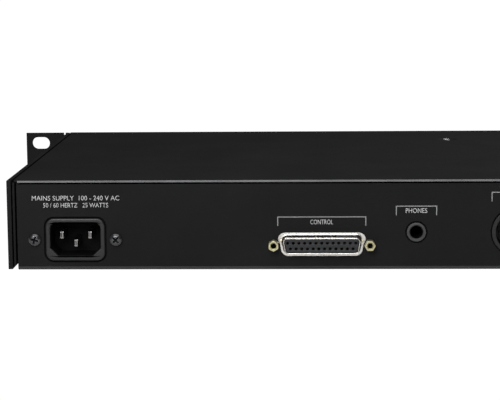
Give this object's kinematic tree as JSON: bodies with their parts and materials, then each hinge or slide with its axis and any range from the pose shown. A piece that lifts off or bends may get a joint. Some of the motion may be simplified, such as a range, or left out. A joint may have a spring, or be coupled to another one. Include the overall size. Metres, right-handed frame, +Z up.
{
  "type": "rack effects unit",
  "caption": "Slim 19-inch rack audio effects processor: folded steel case with slotted ears, rear audio and control connectors, front knobs, keys and display.",
  "frame": {"origin": "under the middle of the whole unit, on the surface that it stands on", "axes": "+X towards the mains end, +Y out of the rear connector panel, +Z up"},
  "size_m": [0.4826, 0.2406, 0.0444],
  "materials": {
    "casing_enamel": "fine black powder coat on steel sheet",
    "fascia_anodised": "black anodised aluminium, brushed along its length",
    "black_moulding": "moulded black plastic",
    "grey_moulding": "moulded grey plastic",
    "button_moulding": "moulded mid-grey plastic keys",
    "bright_tin": "tin-plated steel",
    "contact_tin": "bright plated contact",
    "yellow_zinc": "pale yellow passivated zinc",
    "black_zinc": "black zinc plated steel screw",
    "connector_metal": "dark plated die-cast connector shell",
    "latch_metal": "satin nickel latch",
    "insulator": "blue-grey glass-filled insulator",
    "shaft_metal": "turned aluminium shaft",
    "pot_body": "plated control body",
    "smoked_window": "smoked acrylic window",
    "display_glass": "unlit display panel",
    "meter_body": "unlit level meter bars",
    "main_laminate": "green solder-masked laminate",
    "power_laminate": "bare paper laminate",
    "chip_package": "moulded chip package",
    "ferrite": "ferrite core and yellow tape",
    "capacitor_sleeve": "shrink sleeve",
    "heat_sink_metal": "extruded aluminium",
    "ribbon_jacket": "grey ribbon cable",
    "live_wire": "brown insulated wire",
    "neutral_wire": "blue insulated wire"
  },
  "bodies": {
    "casing": {"base_tray": "casing_enamel", "top_cover": "casing_enamel", "side_plate_mains": "casing_enamel", "side_plate_far": "casing_enamel", "front_fascia": "fascia_anodised", "cover_screw": "black_zinc", "mains_inlet_body": "black_moulding", "mains_pin_live": "contact_tin", "mains_pin_neutral": "contact_tin", "mains_pin_earth": "contact_tin", "inlet_screw_left": "black_zinc", "inlet_screw_right": "black_zinc", "remote_connector_shell": "bright_tin", "remote_connector_insulator": "insulator", "remote_jackscrew_left": "yellow_zinc", "remote_jackscrew_right": "yellow_zinc", "monitor_jack": "grey_moulding", "output_1_shell": "connector_metal", "output_1_insert": "insulator", "output_2_shell": "connector_metal", "output_2_insert": "insulator", "input_1_shell": "connector_metal", "input_1_insert": "insulator", "input_2_shell": "connector_metal", "input_2_insert": "insulator", "control_data_socket_1": "black_moulding", "control_data_socket_2": "black_moulding", "input_level_pot": "pot_body", "output_level_pot": "pot_body", "data_wheel_pot": "pot_body", "power_switch_body": "black_moulding", "display_window": "smoked_window", "meter_window": "smoked_window", "display_module": "display_glass", "meter_module": "meter_body", "main_board": "main_laminate", "power_board": "power_laminate", "signal_processor": "chip_package", "front_board": "main_laminate", "ribbon_cable": "ribbon_jacket", "mains_transformer": "ferrite", "reservoir_capacitor": "capacitor_sleeve", "heat_sink": "heat_sink_metal", "mains_wire_live": "live_wire", "mains_wire_neutral": "neutral_wire"},
    "input_level": {"input_level_knob": "black_moulding", "input_level_shaft": "shaft_metal"},
    "output_level": {"output_level_knob": "black_moulding", "output_level_shaft": "shaft_metal"},
    "data_wheel": {"data_wheel_knob": "black_moulding", "data_wheel_shaft": "shaft_metal"},
    "power_rocker": {"power_rocker": "black_moulding"},
    "latch_1": {"input_1_latch": "latch_metal"},
    "latch_2": {"input_2_latch": "latch_metal"},
    "button_1": {"push_button_1": "button_moulding"},
    "button_2": {"push_button_2": "button_moulding"},
    "button_3": {"push_button_3": "button_moulding"},
    "button_4": {"push_button_4": "button_moulding"},
    "button_5": {"push_button_5": "button_moulding"},
    "button_6": {"push_button_6": "button_moulding"}
  },
  "joints": [
    {"name": "input_level_turn", "type": "hinge", "parent": "casing", "child": "input_level", "pos_m": [-0.18657, -0.10525, 0.0223], "axis": [0, 1, 0], "range_deg": [-150, 150]},
    {"name": "output_level_turn", "type": "hinge", "parent": "casing", "child": "output_level", "pos_m": [-0.15417, -0.10525, 0.0223], "axis": [0, 1, 0], "range_deg": [-150, 150]},
    {"name": "data_wheel_turn", "type": "hinge", "parent": "casing", "child": "data_wheel", "pos_m": [0.14161, -0.10525, 0.0223], "axis": [0, 1, 0], "continuous": true},
    {"name": "power_rocker_tip", "type": "hinge", "parent": "casing", "child": "power_rocker", "pos_m": [0.18907, -0.10385, 0.0223], "axis": [1, 0, 0], "range_deg": [-16, 0]},
    {"name": "button_1_press", "type": "slide", "parent": "casing", "child": "button_1", "axis": [0, 1, 0], "range_m": [0, 0.0008], "stiffness_N_per_m": 600, "springref_m": -0.001},
    {"name": "button_2_press", "type": "slide", "parent": "casing", "child": "button_2", "axis": [0, 1, 0], "range_m": [0, 0.0008], "stiffness_N_per_m": 600, "springref_m": -0.001},
    {"name": "button_3_press", "type": "slide", "parent": "casing", "child": "button_3", "axis": [0, 1, 0], "range_m": [0, 0.0008], "stiffness_N_per_m": 600, "springref_m": -0.001},
    {"name": "button_4_press", "type": "slide", "parent": "casing", "child": "button_4", "axis": [0, 1, 0], "range_m": [0, 0.0008], "stiffness_N_per_m": 600, "springref_m": -0.001},
    {"name": "button_5_press", "type": "slide", "parent": "casing", "child": "button_5", "axis": [0, 1, 0], "range_m": [0, 0.0008], "stiffness_N_per_m": 600, "springref_m": -0.001},
    {"name": "button_6_press", "type": "slide", "parent": "casing", "child": "button_6", "axis": [0, 1, 0], "range_m": [0, 0.0008], "stiffness_N_per_m": 600, "springref_m": -0.001},
    {"name": "latch_1_press", "type": "slide", "parent": "casing", "child": "latch_1", "axis": [0, -1, 0], "range_m": [0, 0.0015], "stiffness_N_per_m": 800, "springref_m": -0.0015},
    {"name": "latch_2_press", "type": "slide", "parent": "casing", "child": "latch_2", "axis": [0, -1, 0], "range_m": [0, 0.0015], "stiffness_N_per_m": 800, "springref_m": -0.0015}
  ]
}
